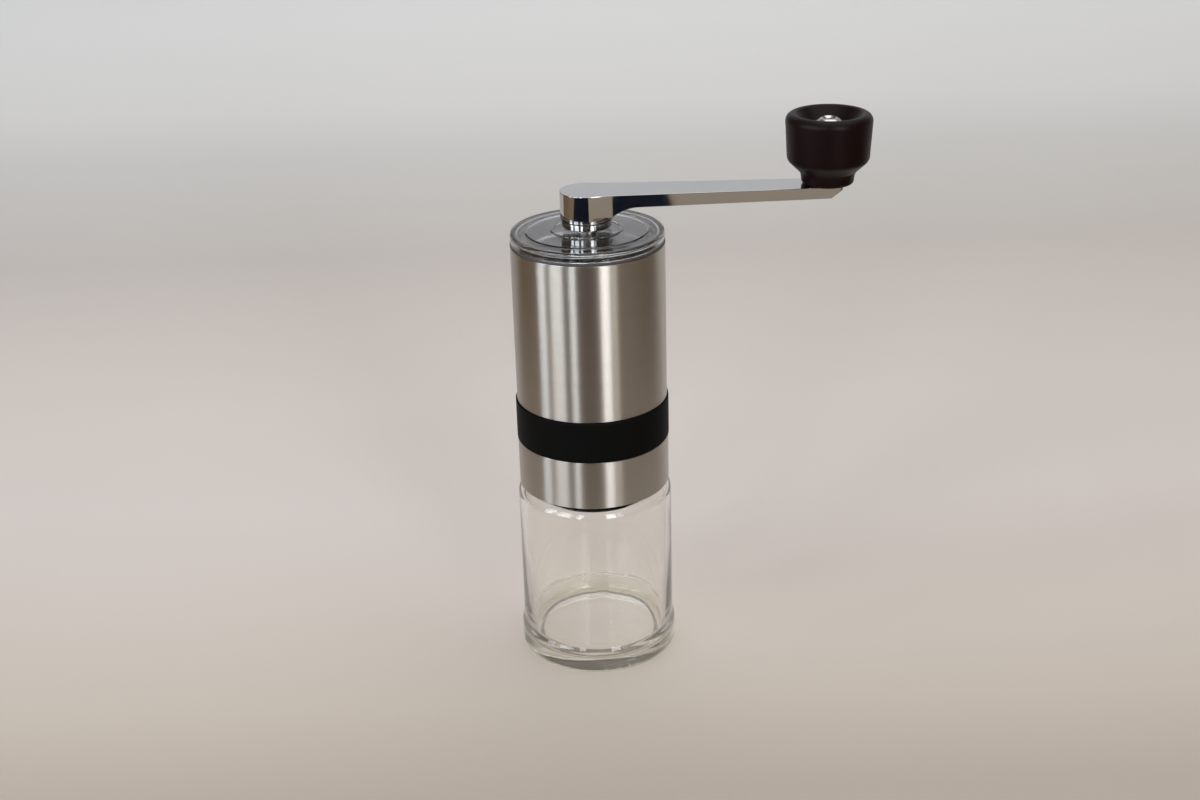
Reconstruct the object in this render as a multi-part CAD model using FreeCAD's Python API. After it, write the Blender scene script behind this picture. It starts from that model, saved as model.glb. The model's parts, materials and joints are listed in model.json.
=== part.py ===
import FreeCAD, Part
import math
import os

from FreeCAD import Vector

# Manual coffee grinder, in millimetres. +Z is up, the origin is the centre of the jar's base,
# and the crank arm points along +X.

os.makedirs("parts", exist_ok=True)

# Clearances between pieces
RUNNING = 0.05           # radial, shaft in bush
SEATED = 0.05            # radial, a piece pushed into its seat, or a screw in its hole
LOOSE = 0.1              # play of a turning piece along its axis, and of the upper bridge all round
THREAD_GAP = 0.15        # along the axis, between the flanks of the jar's thread ridges
RIDGE_ROOM = 0.2         # radial, from a ridge's crest to the wall across from it

# Rounding of edges
FINE_EDGE = 0.2
EDGE = 0.4
SOFT_EDGE = 0.8

# Body: the upper sleeve sets the radius, and the other outer pieces stand a little proud of it
BODY_R = 30.0
SLEEVE_WALL = 0.8
SLEEVE_HEIGHT = 63.35
LOWER_SLEEVE_PROUD = 0.36
BAND_PROUD = 0.58
BAND_HEIGHT = 16.9
BAND_THICK = 2.28

# Glass jar
JAR_PROUD = 1.2
JAR_WALL = 2.8
JAR_FLOOR = 5.5          # inside floor above the table
JAR_BODY_HEIGHT = 75.2   # table to the top of the shoulder
HEEL_PROUD = 0.95        # bulge round the foot
HEEL_HEIGHT = 11.2
HEEL_BLEND = 1.8         # height over which the bulge runs out into the wall
HEEL_ROUND = 3.6
HEEL_SOFTEN = 3.5        # rounding above and below the blend
PUSH_UP = 1.2            # hollow under the floor
PUSH_UP_SLOPE = 6.0      # width over which the hollow rises
PUSH_UP_ROUND = 12.0
REST_RING = 2.0          # width of the flat ring that the jar stands on
SHOULDER_ROUND = 4.6
SHOULDER_IN_ROUND = 2.4
NECK_IN_ROUND = 2.0
FLOOR_ROUND = 7.0
NECK_WALL = 2.4
NECK_HEIGHT = 15.3       # shoulder to mouth

# Jar thread, four short ridges on the neck and four in the grinding head
THREAD_STARTS = 4
THREAD_LEAD = 14.0
RIDGE_HEIGHT = 1.3
RIDGE_ROOT = 2.2
RIDGE_CREST = 1.0
RIDGE_SINK = 0.5         # how far a ridge's foot reaches into its wall
NECK_RIDGE_SWEEP = 120.0 # degrees
HEAD_RIDGE_SWEEP = 100.0
RIDGE_START = 4.4        # middle of a neck ridge above the shoulder, where it starts

# Gasket
GASKET_THICK = 1.5
GASKET_INWARD = 0.2      # past the jar's mouth, inward and outward
GASKET_OUTWARD = 0.6

# Grinding head and the ring of steel round it
HEAD_WALL = 2.0
HEAD_PLATE = 3.8         # gasket to the foot of the grip band
HEAD_BOSS = 1.2          # height of the boss inside the grip band
SKIRT_GAP = 1.1          # jar's shoulder to the head's skirt
SLEEVE_GAP = 0.7         # jar's shoulder to the lower sleeve
CUP_ROOM = 0.8           # radial, jar's neck to the cup that holds the outer burr
CUP_WALL = 3.96          # round the outer burr, wide enough for the screws
CUP_DEPTH = 16.5
THROAT_SET_BACK = 2.0    # radial, from the outer burr's mouth to the throat

# Outer burr and its retainer
OUTER_BURR_HEIGHT = 15.0
OUTER_BURR_WALL = 3.8    # at its mouth, the top
BURR_WAIST_INSET = 1.0   # radial, from the mouth to the tightest place
BURR_WAIST_HEIGHT = 3.5
BURR_EXIT_INSET = 0.4    # radial, from the mouth to the exit at the bottom
BURR_LEDGE = 0.2         # the head's ledge over the burr starts this far outside its mouth
OUTER_TEETH = 14
OUTER_GROOVE = 1.5       # radius of a coarse groove
OUTER_FINE_GROOVE = 0.4
OUTER_TWIST = 18.0
OUTER_FINE_TWIST = 10.0
RETAINER_LIP = 2.5       # height of the lip that holds the burr up
RETAINER_SET_BACK = 1.9  # from the burr's exit to the retainer's bore
RETAINER_THICK = 2.0

# Screws with a cross recess: three in the hopper's floor and three under the retainer
SCREW_R = 1.25
SCREW_HEAD_R = 2.2
SCREW_HEAD_HEIGHT = 1.5
RECESS_LENGTH = 2.6
RECESS_WIDTH = 0.6
RECESS_DEPTH = 0.9
SCREWS = 3
SCREW_REACH = 8.5        # into the grinding head, from above and from below
POCKET_ROOM = 0.5        # radial, round a screw's head
POCKET_FLOOR = 1.8       # under a screw's head, down to the lower bridge

# Inner burr, with heights above its base
BURR_DROP = 1.5          # its base below the outer burr's
INNER_FOOT_HEIGHT = 1.2
INNER_LOW_HEIGHT = 5.0
INNER_MID_HEIGHT = 11.5
INNER_HEIGHT = 18.0
GRIND_GAP = 0.4          # radial, between the burrs at the exit
WAIST_GAP = 0.8          # radial, between the burrs at the waist
INNER_FOOT_CHAMFER = 1.2
INNER_MID_R = 9.5
INNER_TOP_WALL = 1.55
INNER_TEETH = 10
INNER_GROOVE = 1.8
INNER_TWIST = -32.0
FINE_TEETH = 30
INNER_FINE_GROOVE = 0.45
INNER_FINE_TWIST = -12.0

# Burr carrier, click plate and adjusting nut
STEM_WALL = 1.65
STEM_HEIGHT = 12.5
KEY_RISE = 1.1           # how far the key stands out of the stem
KEY_WIDTH = 2.4
FLANGE_R = 11.0
FLANGE_THICK = 2.4
CLICK_THICK = 0.5
CLICKS = 10
CLICK_CIRCLE = 8.2
CLICK_HOLE = 0.9         # radius
CLICK_MARGIN = 1.9       # click circle to the plate's edge
BUMPS = 2
BUMP_HEIGHT = 0.3
BUMP_R = 1.2             # radius of the bump's ball
NUT_R = 12.0
NUT_HEIGHT = 4.8
NUT_SCALLOP = 2.2
NUT_BORE_ROOM = 0.2
INSERT_FLATS = 10.0
INSERT_HEIGHT = 4.2

# Shaft
SHAFT_R = 3.5
SHAFT_FLATS = 5.2        # across the two flats
SHAFT_THREAD_R = 2.45    # less than half of SHAFT_FLATS, so that the burr slides over it
THREAD_SPARE = 1.1       # thread above the nut
FOOT_BELOW = 0.7         # shaft's foot below the nut
FLATS_BELOW = 1.0        # end of the flats below the lower bush
COLLAR_PROUD = 1.7
COLLAR_THICK = 2.0
HEX_FLATS = 6.0
HEX_BELOW = 2.8          # start of the hexagon below the crank's hub
SHAFT_CHAMFER = 0.5

# Spring and washers
WIRE_R = 0.45
SPRING_ROOM = 0.6        # radial, shaft to wire
SPRING_TURNS = 4.5
WASHER_THICK = 0.5
WASHER_PROUD = 2.5       # washer's edge outside the shaft

# Bridges that carry the shaft, and their bushes
BUSH_WALL = 1.65
BUSH_LENGTH = 8.0
BUSH_FLANGE = 1.0
BUSH_FLANGE_INSET = 0.5  # edge of the bush's flange inside the edge of the hub
BRIDGE_HUB_WALL = 1.85
BRIDGE_ARMS = 3
ARM_WIDTH = 4.5
BURR_HEADROOM = 2.5      # inner burr's top to the lower bush
LOWER_RING_HEIGHT = 2.5
LOWER_ARM_HEIGHT = 4.5
UPPER_BRIDGE_DEPTH = 19.0
UPPER_RING_HEIGHT = 4.0
UPPER_RING_WALL = 3.6
UPPER_HUB_DROP = 2.0     # hub's foot below the ring's

# Hopper
HOPPER_WALL = 2.55       # above the ledge that carries the upper bridge
HOPPER_LEDGE = 0.8
HOPPER_FOOT_WALL = 3.65  # round the lower bridge
THROAT_RISE = 2.0        # edge of the throat above the lower bridge's ring
FLOOR_RISE = 7.0         # how far the sloping floor climbs to the wall
FLOOR_BEND = 3.0
RIM_HEIGHT = 0.95        # rim that covers the sleeve's top edge

# Lid
LID_INSET = 0.2
LID_HEIGHT = 4.0         # above the rim
LID_SKIRT = 1.9          # height of the outer skirt under the plate
LID_SKIRT_WALL = 2.1
LID_PLATE = 2.1
PLUG_ROOM = 0.15         # radial, plug in hopper
PLUG_WALL = 2.7
PLUG_DEPTH = 8.5
LID_DISC_RISE = 0.4
LID_RING_R = 14.0
LID_RING_WALL = 1.2
LID_RING_RISE = 0.9
LID_RING_SLOPE = 0.3
LID_HOLE_ROOM = 0.7      # radial, round the shaft

# Crank
HUB_GAP = 1.8            # lid to hub
HUB_R = 10.22
HUB_HEIGHT = 13.9
HUB_ROOF = 2.7           # over the shaft's end
HUB_FOOT_INSET = 0.52
HUB_FOOT_HEIGHT = 2.6
HUB_STEP = 0.5
ARM_THICK = 4.85
ARM_TIP_THICK = 4.25
ARM_INSET = 0.96         # hub's radius less the arm's half width at the shaft
ARM_TIP_HALF = 6.8       # half width at the knob
CRANK_R = 92.0           # shaft axis to knob axis
ARM_TIP = 5.2            # the arm's top past the knob's axis
HUB_BLEND = 60.0         # radius of the hollow curve from hub to arm
TIP_ROUND = 1.2
TIP_EDGE = 0.8           # upright part of the end, above the slant
TIP_SLANT = 4.5          # how far the slant undercuts the end
NECK_INSET = 0.62        # the curve under the arm starts this far inside the hub
NECK_DROP = 3.6
NECK_RUN = 10.4
CRANK_EDGE = 0.2
SOCKET_ROOM = 0.05

# Knob, with heights above the arm
KNOB_R = 16.6
KNOB_LOW_INSET = 1.0     # the knob is this much slimmer under its widest part
KNOB_LOW_Z = 9.4
KNOB_BELLY_ROUND = 3.6
KNOB_NECK_R = 10.2
KNOB_NECK_Z = 3.4
KNOB_NECK_ROUND = 1.5
KNOB_SHOULDER_PROUD = 0.55
KNOB_SHOULDER_Z = 4.8
KNOB_SHOULDER_ROUND = 1.0
KNOB_FOOT_R = 9.85
KNOB_FOOT_ROUND = 1.4
KNOB_TOP = 27.35
KNOB_RIM_WIDTH = 3.9
KNOB_RIM_DIP = 0.3       # inner edge of the rim below its outer edge
KNOB_RIM_ROUND = 3.6
KNOB_RIM_IN_ROUND = 2.2
DISH_R = 8.0
DISH_Z = 22.35
DISH_ROUND = 2.2
KNOB_BUSH_WALL = 0.95
KNOB_RUNNING = 0.07      # radial, knob on its bush
KNOB_SCREW_R = 3.0
KNOB_SCREW_REACH = 2.4   # into the arm
KNOB_SCREW_HEAD_R = 5.3
KNOB_SCREW_EDGE_HEIGHT = 0.7
KNOB_SCREW_DOME_R = 3.1  # flat part on top of the domed head
KNOB_SCREW_RISE = 2.3
KNOB_SCREW_DOME_ROUND = 2.0
KNOB_WASHER_PROUD = 0.3
SOCKET_FLATS = 4.0
SOCKET_MOUTH_R = 2.9     # countersunk mouth of the socket
SOCKET_DEPTH = 1.5

# Radii that follow from the sizes above
lower_sleeve_r = BODY_R + LOWER_SLEEVE_PROUD
lower_sleeve_in = lower_sleeve_r - SLEEVE_WALL
sleeve_in = BODY_R - SLEEVE_WALL
band_r = BODY_R + BAND_PROUD
band_in = band_r - BAND_THICK
head_r = lower_sleeve_in - SEATED
skirt_in = head_r - HEAD_WALL
neck_r = skirt_in - RIDGE_ROOM - RIDGE_HEIGHT
neck_in = neck_r - NECK_WALL
jar_r = BODY_R + JAR_PROUD
jar_in = jar_r - JAR_WALL
heel_r = jar_r + HEEL_PROUD
cup_r = neck_in - CUP_ROOM
seat_r = cup_r - CUP_WALL
screw_circle = (seat_r + cup_r) / 2
outer_burr_r = seat_r - SEATED
burr_mouth_r = outer_burr_r - OUTER_BURR_WALL
burr_waist_r = burr_mouth_r - BURR_WAIST_INSET
burr_exit_r = burr_mouth_r - BURR_EXIT_INSET
throat_r = burr_mouth_r + THROAT_SET_BACK
retainer_in = burr_exit_r + RETAINER_SET_BACK
bore_r = SHAFT_R + RUNNING
stem_r = bore_r + STEM_WALL
inner_bore = stem_r + SEATED
key_r = stem_r + KEY_RISE
inner_foot_r = burr_exit_r - GRIND_GAP
inner_low_r = burr_waist_r - WAIST_GAP
inner_top_r = inner_bore + INNER_TOP_WALL
bush_r = bore_r + BUSH_WALL
bridge_hub_r = bush_r + SEATED + BRIDGE_HUB_WALL
bush_flange_r = bridge_hub_r - BUSH_FLANGE_INSET
washer_r = SHAFT_R + WASHER_PROUD
hopper_r = sleeve_in - SEATED
hopper_in = hopper_r - HOPPER_WALL
lower_ring_r = band_in - HOPPER_FOOT_WALL - SEATED
upper_ring_r = hopper_in - LOOSE
lid_r = BODY_R - LID_INSET
plug_r = hopper_in - PLUG_ROOM
arm_half = HUB_R - ARM_INSET
knob_bush_r = KNOB_SCREW_R + SEATED + KNOB_BUSH_WALL

# Heights that follow, from the table up
mouth_z = JAR_BODY_HEIGHT + NECK_HEIGHT
gasket_top = mouth_z + GASKET_THICK
skirt_z = JAR_BODY_HEIGHT + SKIRT_GAP
lower_sleeve_z = JAR_BODY_HEIGHT + SLEEVE_GAP
band_z = gasket_top + HEAD_PLATE
band_top = band_z + BAND_HEIGHT
head_top = band_z + HEAD_BOSS
cup_z = gasket_top - CUP_DEPTH
outer_burr_z = cup_z + RETAINER_LIP
outer_burr_top = outer_burr_z + OUTER_BURR_HEIGHT
waist_z = outer_burr_z + BURR_WAIST_HEIGHT
inner_z = outer_burr_z - BURR_DROP
stem_top = inner_z + STEM_HEIGHT
flange_z = inner_z - FLANGE_THICK
click_z = flange_z - CLICK_THICK
nut_top = click_z - BUMP_HEIGHT
nut_z = nut_top - NUT_HEIGHT
lower_bush_z = inner_z + INNER_HEIGHT + BURR_HEADROOM
collar_z = lower_bush_z + BUSH_LENGTH + BUSH_FLANGE + WASHER_THICK
lower_ring_top = head_top + LOWER_RING_HEIGHT
pocket_z = lower_ring_top + POCKET_FLOOR
throat_top = lower_ring_top + THROAT_RISE
sleeve_top = band_top + SLEEVE_HEIGHT
rim_top = sleeve_top + RIM_HEIGHT
upper_ring_z = rim_top - UPPER_BRIDGE_DEPTH
upper_bush_z = upper_ring_z - UPPER_HUB_DROP
lid_top = rim_top + LID_HEIGHT
hub_z = lid_top + HUB_GAP
arm_top = hub_z + HUB_HEIGHT
shaft_top = arm_top - HUB_ROOF
hex_z = hub_z - HEX_BELOW


def outline(corners, normal):
    """A closed wire through corners (a, b, rounding), in the XZ plane or at z = 0 in the XY plane.

    Roundings that meet on one side are made smaller until they fit on it."""
    flat = {"Y": lambda a, b: Vector(a, 0, b), "Z": lambda a, b: Vector(a, b, 0)}[normal]
    count = len(corners)
    points = [Vector(corner[0], corner[1], 0) for corner in corners]
    sides = [points[(i + 1) % count] - points[i] for i in range(count)]
    halves = [(sides[i - 1] * -1).getAngle(sides[i]) / 2 for i in range(count)]
    reaches = [
        corner[2] / math.tan(half) if len(corner) > 2 else 0 for corner, half in zip(corners, halves)
    ]
    stops = []
    for i, point in enumerate(points):
        if reaches[i] == 0:
            stops.append((point, None, point))
            continue
        before = sides[i - 1].Length / (reaches[i - 1] + reaches[i])
        after = sides[i].Length / (reaches[i] + reaches[(i + 1) % count])
        reach = reaches[i] * min(1, before, after)
        rounding = reach * math.tan(halves[i])
        back = (sides[i - 1] * -1).normalize()
        ahead = Vector(sides[i]).normalize()
        middle = (back + ahead).normalize() * (rounding / math.sin(halves[i]) - rounding)
        stops.append((point + back * reach, point + middle, point + ahead * reach))
    edges = []
    for i, (enter, middle, leave) in enumerate(stops):
        if middle is not None:
            edges.append(Part.Arc(*[flat(p.x, p.y) for p in (enter, middle, leave)]).toShape())
        following = stops[(i + 1) % count][0]
        if leave.distanceToPoint(following) > 1e-6:
            edges.append(Part.LineSegment(flat(leave.x, leave.y), flat(following.x, following.y)).toShape())
    return Part.Wire(edges)


def turned(corners):
    """A solid of revolution about Z from corners (radius, height, rounding)."""
    return Part.Face(outline(corners, "Y")).revolve(Vector(0, 0, 0), Vector(0, 0, 1), 360)


def extruded(corners, low, high):
    """A prism with its outline in plan, from height low to height high."""
    face = Part.Face(outline(corners, "Z"))
    face.translate(Vector(0, 0, low))
    return face.extrude(Vector(0, 0, high - low))


def disc(radius, low, high, x=0.0):
    return Part.makeCylinder(radius, high - low, Vector(x, 0, low))


def ring(inside, outside, low, high):
    return disc(outside, low, high).cut(disc(inside, low, high))


def block(length, width, low, high):
    """A box centred on the Z axis."""
    return Part.makeBox(length, width, high - low, Vector(-length / 2, -width / 2, low))


def hexagon(across_flats, low, high):
    reach = across_flats / math.sqrt(3)
    turns = [2 * math.pi * i / 6 for i in range(6)]
    return extruded([(reach * math.cos(t), reach * math.sin(t)) for t in turns], low, high)


def spun(shape, degrees):
    copy = shape.copy()
    copy.rotate(Vector(0, 0, 0), Vector(0, 0, 1), degrees)
    return copy


def around(shape, count, first=0.0):
    """Copies of a shape, evenly spaced about Z."""
    return [spun(shape, first + 360.0 * i / count) for i in range(count)]


def two_flats(radius, across, low, high):
    """A round bar with two flats, for the shaft and for the bores that it drives."""
    return disc(radius, low, high).common(block(4 * radius, across, low, high))


def helical_ridge(wall_r, crest_r, root_width, crest_width, z, sweep):
    """A thread ridge that starts on +X at height z, climbs by the thread's lead and is let into its wall."""
    into_wall = RIDGE_SINK if wall_r > crest_r else -RIDGE_SINK
    slope = (root_width - crest_width) / abs(wall_r - crest_r)
    foot_width = root_width + slope * RIDGE_SINK
    corners = [
        Vector(wall_r + into_wall, 0, z - foot_width / 2),
        Vector(crest_r, 0, z - crest_width / 2),
        Vector(crest_r, 0, z + crest_width / 2),
        Vector(wall_r + into_wall, 0, z + foot_width / 2),
    ]
    section = Part.makePolygon(corners + corners[:1])
    path = Part.makeHelix(THREAD_LEAD, THREAD_LEAD * sweep / 360, wall_r)
    path.translate(Vector(0, 0, z))
    return Part.Wire(path.Edges).makePipeShell([section], True, True)


def save(name, *solids):
    shape = solids[0] if len(solids) == 1 else Part.makeCompound(list(solids))
    if not shape.isValid() or shape.Volume <= 0:
        raise RuntimeError(name + " is not a valid solid")
    shape.exportStep("parts/" + name + ".step")
    print(name, "solids", len(shape.Solids), "volume", round(shape.Volume, 1))


def glass_jar():
    rest_in = heel_r - HEEL_ROUND - REST_RING
    shoulder_in = JAR_BODY_HEIGHT - JAR_WALL
    body = turned([
        (0, PUSH_UP),
        (rest_in - PUSH_UP_SLOPE, PUSH_UP, PUSH_UP_ROUND),
        (rest_in, 0, SOFT_EDGE),
        (heel_r, 0, HEEL_ROUND),
        (heel_r, HEEL_HEIGHT, HEEL_SOFTEN),
        (jar_r, HEEL_HEIGHT + HEEL_BLEND, HEEL_SOFTEN),
        (jar_r, JAR_BODY_HEIGHT, SHOULDER_ROUND),
        (neck_r, JAR_BODY_HEIGHT, EDGE),
        (neck_r, mouth_z, SOFT_EDGE),
        (neck_in, mouth_z, SOFT_EDGE),
        (neck_in, shoulder_in, NECK_IN_ROUND),
        (jar_in, shoulder_in, SHOULDER_IN_ROUND),
        (jar_in, JAR_FLOOR, FLOOR_ROUND),
        (0, JAR_FLOOR),
    ])
    ridge = helical_ridge(
        neck_r, neck_r + RIDGE_HEIGHT, RIDGE_ROOT, RIDGE_CREST,
        JAR_BODY_HEIGHT + RIDGE_START, NECK_RIDGE_SWEEP,
    )
    return body.fuse(around(ridge, THREAD_STARTS))


def jar_gasket():
    return ring(neck_in - GASKET_INWARD, neck_r + GASKET_OUTWARD, mouth_z, gasket_top)


def grinding_head():
    body = turned([
        (head_r, skirt_z, EDGE),
        (head_r, band_z),
        (band_in, band_z),
        (band_in, head_top),
        (throat_r, head_top),
        (burr_mouth_r + BURR_LEDGE, outer_burr_top),
        (seat_r, outer_burr_top),
        (seat_r, cup_z),
        (cup_r, cup_z, EDGE),
        (cup_r, gasket_top, EDGE),
        (skirt_in, gasket_top, EDGE),
        (skirt_in, skirt_z, EDGE),
    ])
    # The head's ridges fill the spaces between the neck's, less the gap on each flank
    spacing = THREAD_LEAD / THREAD_STARTS
    crest_r = neck_r + RIDGE_ROOM
    slope = (RIDGE_ROOT - RIDGE_CREST) / RIDGE_HEIGHT
    crest_width = spacing - RIDGE_ROOT + slope * RIDGE_ROOM - 2 * THREAD_GAP
    root_width = crest_width + slope * (skirt_in - crest_r)
    start = JAR_BODY_HEIGHT + RIDGE_START - spacing / 2
    ridge = helical_ridge(skirt_in, crest_r, root_width, crest_width, start, HEAD_RIDGE_SWEEP)
    body = body.fuse(around(ridge, THREAD_STARTS))
    top_hole = disc(SCREW_R + SEATED, head_top - SCREW_REACH - LOOSE, head_top, screw_circle)
    low_hole = disc(SCREW_R + SEATED, cup_z, cup_z + SCREW_REACH + LOOSE, screw_circle)
    return body.cut(around(top_hole, SCREWS, 180 / SCREWS) + around(low_hole, SCREWS))


def lower_sleeve():
    return turned([
        (lower_sleeve_in, lower_sleeve_z, FINE_EDGE),
        (lower_sleeve_r, lower_sleeve_z, FINE_EDGE),
        (lower_sleeve_r, band_z, FINE_EDGE),
        (lower_sleeve_in, band_z, FINE_EDGE),
    ])


def grip_band():
    return turned([
        (band_in + SEATED, band_z, FINE_EDGE),
        (band_r, band_z, EDGE),
        (band_r, band_top, SOFT_EDGE),
        (band_in + SEATED, band_top, FINE_EDGE),
    ])


def upper_sleeve():
    return turned([
        (sleeve_in, band_top, FINE_EDGE),
        (BODY_R, band_top, FINE_EDGE),
        (BODY_R, sleeve_top, FINE_EDGE),
        (sleeve_in, sleeve_top, FINE_EDGE),
    ])


def hopper():
    low_in = hopper_in - HOPPER_LEDGE
    body = turned([
        (band_in, head_top),
        (band_in, band_top),
        (hopper_r, band_top),
        (hopper_r, sleeve_top),
        (BODY_R, sleeve_top, FINE_EDGE),
        (BODY_R, rim_top, EDGE),
        (hopper_in, rim_top, EDGE),
        (hopper_in, upper_ring_z),
        (low_in, upper_ring_z, FINE_EDGE),
        (low_in, throat_top + FLOOR_RISE, FLOOR_BEND),
        (throat_r, throat_top, SOFT_EDGE),
        (throat_r, lower_ring_top),
        (lower_ring_r + SEATED, lower_ring_top),
        (lower_ring_r + SEATED, head_top),
    ])
    pocket = disc(SCREW_HEAD_R + POCKET_ROOM, pocket_z, throat_top + FLOOR_RISE, screw_circle)
    hole = disc(SCREW_R + SEATED, head_top, pocket_z, screw_circle)
    first = 180 / SCREWS
    return body.cut(around(pocket, SCREWS, first) + around(hole, SCREWS, first))


def bridge(ring_in, ring_out, ring_z, ring_top, hub_low, arm_top_z):
    """A ring, three arms and a hub with a hole for its bush."""
    arm_reach = (ring_in + ring_out) / 2
    arm = extruded(
        [(0, -ARM_WIDTH / 2), (arm_reach, -ARM_WIDTH / 2), (arm_reach, ARM_WIDTH / 2), (0, ARM_WIDTH / 2)],
        ring_z, arm_top_z,
    )
    low_arm = arm.common(disc(arm_reach, ring_z, ring_top))
    high_arm = arm.common(disc(ring_in - SEATED, ring_z, arm_top_z))
    hub = disc(bridge_hub_r, hub_low, hub_low + BUSH_LENGTH)
    solid = ring(ring_in, ring_out, ring_z, ring_top)
    solid = solid.fuse(around(low_arm, BRIDGE_ARMS) + around(high_arm, BRIDGE_ARMS) + [hub])
    return solid.cut(disc(bush_r + SEATED, hub_low, hub_low + BUSH_LENGTH)).removeSplitter()


def lower_bridge():
    solid = bridge(
        throat_r, lower_ring_r, head_top, lower_ring_top, lower_bush_z, head_top + LOWER_ARM_HEIGHT
    )
    hole = disc(SCREW_R + SEATED, head_top, lower_ring_top, screw_circle)
    return solid.cut(around(hole, SCREWS, 180 / SCREWS))


def upper_bridge():
    ring_top = upper_ring_z + UPPER_RING_HEIGHT
    ring_in = upper_ring_r - UPPER_RING_WALL
    return bridge(ring_in, upper_ring_r, upper_ring_z, ring_top, upper_bush_z, ring_top)


def flanged_bush(low):
    high = low + BUSH_LENGTH
    return turned([
        (bore_r, low, FINE_EDGE),
        (bush_r, low, FINE_EDGE),
        (bush_r, high),
        (bush_flange_r, high),
        (bush_flange_r, high + BUSH_FLANGE, FINE_EDGE),
        (bore_r, high + BUSH_FLANGE, FINE_EDGE),
    ])


def cross_screw(length):
    """A pan-headed screw with the underside of its head at z = 0 and its shank below."""
    head = turned([
        (0, 0),
        (SCREW_HEAD_R, 0),
        (SCREW_HEAD_R, SCREW_HEAD_HEIGHT, SOFT_EDGE),
        (0, SCREW_HEAD_HEIGHT),
    ])
    slot = block(RECESS_LENGTH, RECESS_WIDTH, SCREW_HEAD_HEIGHT - RECESS_DEPTH, SCREW_HEAD_HEIGHT)
    return head.fuse(disc(SCREW_R, -length, 0)).cut([slot, spun(slot, 90)])


def housing_screws():
    screw = cross_screw(pocket_z - head_top + SCREW_REACH)
    screw.translate(Vector(screw_circle, 0, pocket_z))
    return around(screw, SCREWS, 180 / SCREWS)


def retainer_screws():
    screw = cross_screw(RETAINER_THICK + SCREW_REACH)
    screw.rotate(Vector(0, 0, 0), Vector(1, 0, 0), 180)
    screw.translate(Vector(screw_circle, 0, cup_z - RETAINER_THICK))
    return around(screw, SCREWS)


def burr_retainer():
    body = turned([
        (retainer_in, cup_z - RETAINER_THICK, EDGE),
        (cup_r, cup_z - RETAINER_THICK, EDGE),
        (cup_r, cup_z),
        (outer_burr_r, cup_z),
        (outer_burr_r, outer_burr_z),
        (retainer_in, outer_burr_z, FINE_EDGE),
    ])
    hole = disc(SCREW_R + SEATED, cup_z - RETAINER_THICK, cup_z, screw_circle)
    return body.cut(around(hole, SCREWS))


def slanted_groove(low_r, low_z, high_r, high_z, radius, twist):
    """A round-bottomed cutter between two points, the upper one turned ahead by twist degrees."""
    start = Vector(low_r, 0, low_z)
    angle = math.radians(twist)
    end = Vector(high_r * math.cos(angle), high_r * math.sin(angle), high_z)
    return Part.makeCylinder(radius, (end - start).Length, start, end - start)


def outer_burr():
    body = turned([
        (burr_exit_r, outer_burr_z),
        (outer_burr_r, outer_burr_z, EDGE),
        (outer_burr_r, outer_burr_top, EDGE),
        (burr_mouth_r, outer_burr_top),
        (burr_waist_r, waist_z),
    ])
    coarse = slanted_groove(
        burr_waist_r - OUTER_GROOVE / 3, waist_z, burr_mouth_r + OUTER_GROOVE / 2,
        outer_burr_top + OUTER_GROOVE, OUTER_GROOVE, OUTER_TWIST,
    )
    fine = slanted_groove(
        burr_exit_r + OUTER_FINE_GROOVE / 4, outer_burr_z - OUTER_FINE_GROOVE,
        burr_waist_r + OUTER_FINE_GROOVE / 4, waist_z + OUTER_GROOVE, OUTER_FINE_GROOVE, OUTER_FINE_TWIST,
    )
    return body.cut(around(coarse, OUTER_TEETH) + around(fine, 2 * OUTER_TEETH))


def inner_burr():
    top_z = inner_z + INNER_HEIGHT
    low_z = inner_z + INNER_LOW_HEIGHT
    body = turned([
        (inner_bore, inner_z),
        (inner_foot_r - INNER_FOOT_CHAMFER, inner_z),
        (inner_foot_r, inner_z + INNER_FOOT_HEIGHT),
        (inner_low_r, low_z),
        (INNER_MID_R, inner_z + INNER_MID_HEIGHT),
        (inner_top_r, top_z, EDGE),
        (inner_bore, top_z),
    ])
    coarse = slanted_groove(
        inner_low_r + INNER_GROOVE * 0.4, low_z, inner_top_r + INNER_GROOVE / 2,
        top_z + INNER_GROOVE / 2, INNER_GROOVE, INNER_TWIST,
    )
    fine = slanted_groove(
        inner_foot_r, inner_z, inner_low_r + INNER_FINE_GROOVE / 2, low_z + INNER_GROOVE,
        INNER_FINE_GROOVE, INNER_FINE_TWIST,
    )
    key_way = block(2 * (key_r + SEATED), KEY_WIDTH + 2 * SEATED, inner_z, stem_top + SEATED)
    return body.cut(around(coarse, INNER_TEETH) + around(fine, FINE_TEETH) + [key_way])


def burr_carrier():
    flange = turned([
        (0, flange_z),
        (FLANGE_R, flange_z, EDGE),
        (FLANGE_R, inner_z, EDGE),
        (0, inner_z),
    ])
    key = block(2 * key_r, KEY_WIDTH, inner_z, stem_top)
    bore = two_flats(bore_r, SHAFT_FLATS + 2 * RUNNING, flange_z, stem_top)
    return disc(stem_r, inner_z, stem_top).fuse([key, flange]).cut(bore).removeSplitter()


def click_plate():
    plate = disc(CLICK_CIRCLE + CLICK_MARGIN, click_z, flange_z)
    bore = two_flats(bore_r, SHAFT_FLATS + 2 * RUNNING, click_z, flange_z)
    hole = disc(CLICK_HOLE, click_z, flange_z, CLICK_CIRCLE)
    return plate.cut([bore] + around(hole, CLICKS))


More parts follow.
